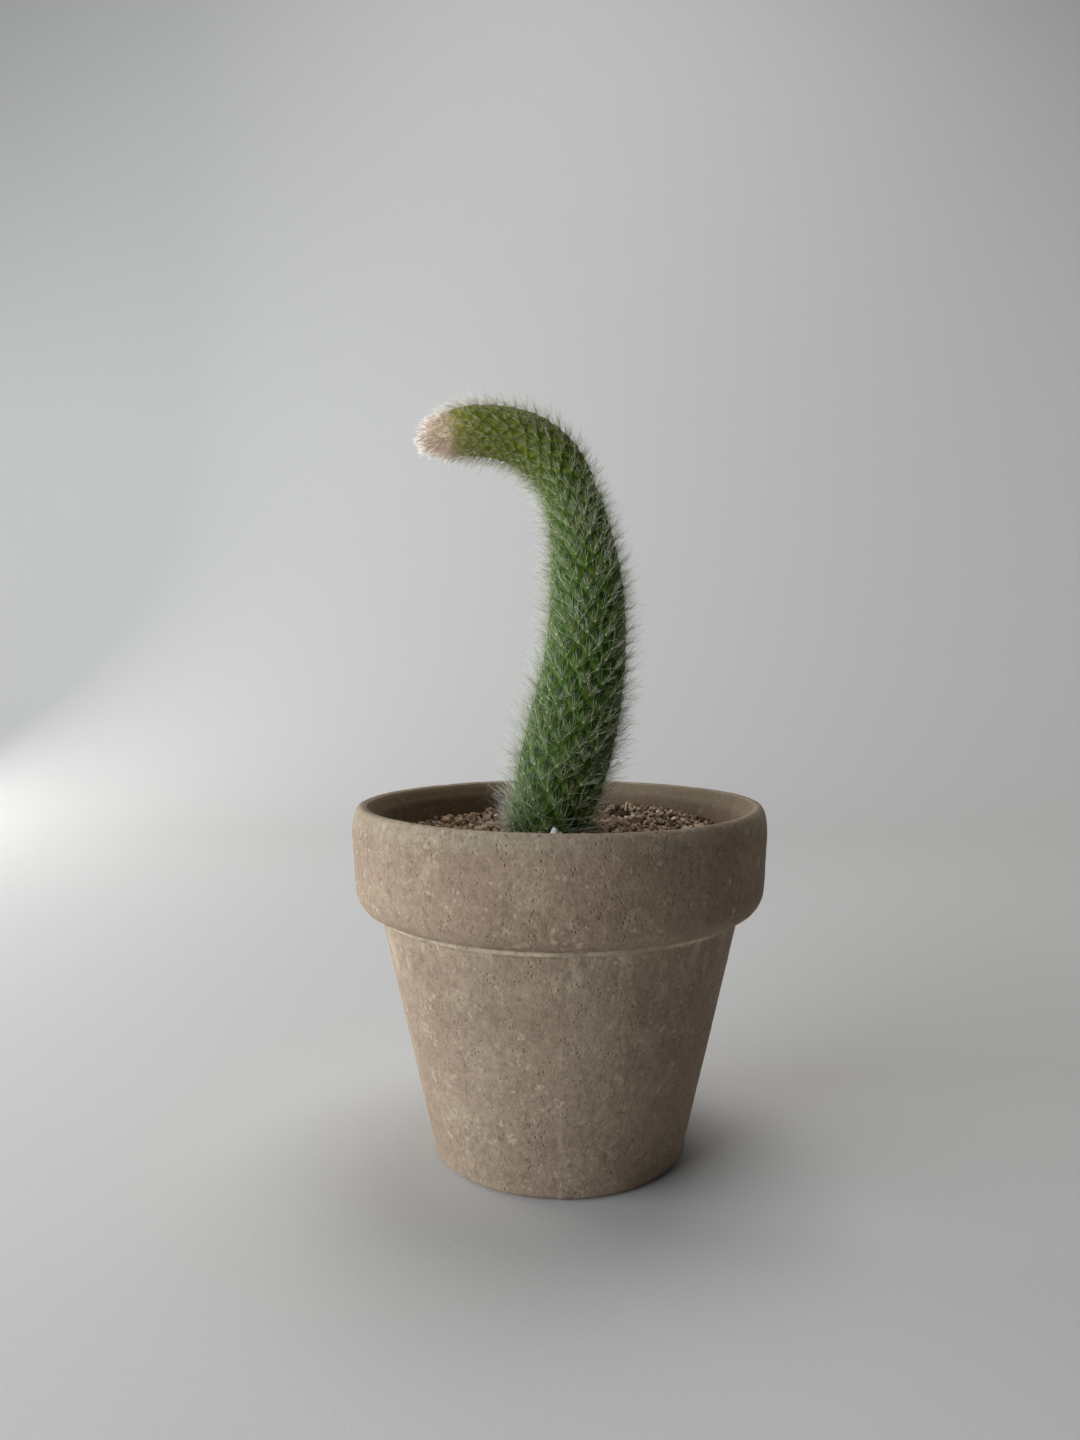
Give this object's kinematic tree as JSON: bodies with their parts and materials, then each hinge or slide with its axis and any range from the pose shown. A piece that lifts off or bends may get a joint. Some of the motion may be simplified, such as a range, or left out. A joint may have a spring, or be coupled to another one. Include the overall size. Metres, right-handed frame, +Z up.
{
  "type": "potted monkey tail cactus",
  "caption": "Hairy columnar cactus whose stem hooks over at the tip, rooted in gritty mix in a rimmed unglazed clay pot with a drainage hole.",
  "frame": {"origin": "centre of the pot's flat underside, which stands on the surface", "axes": "+Z up along the pot's axis; the stem leans along X and its hooked tip points to -X; -Y faces the viewer"},
  "size_m": [0.12, 0.12, 0.2162],
  "materials": {
    "unglazed_clay": "matte",
    "net_plastic": "matte",
    "gritty_mix": "matte",
    "grit": "matte",
    "cactus_skin": "satin",
    "cactus_hair": "satin",
    "perlite": "matte",
    "bark": "matte",
    "dry_wood": "matte",
    "pale_stone": "matte",
    "grey_stone": "matte",
    "brown_stone": "matte"
  },
  "bodies": {
    "root": {"pot": "unglazed_clay", "drainage_mesh": "net_plastic", "potting_mix": "gritty_mix", "top_dressing": "grit", "cactus_stem": "cactus_skin", "perlite_pellet": "perlite", "bark_chip": "bark", "wood_sliver": "dry_wood", "pale_grain": "pale_stone", "grey_green_grain": "grey_stone", "grit_grain_1": "brown_stone", "grit_grain_2": "brown_stone", "grit_grain_3": "brown_stone", "grit_grain_4": "brown_stone", "grit_grain_5": "brown_stone", "grit_grain_6": "brown_stone", "grit_grain_7": "brown_stone", "grit_grain_8": "brown_stone", "grit_grain_9": "brown_stone", "grit_grain_10": "brown_stone"}
  },
  "joints": []
}
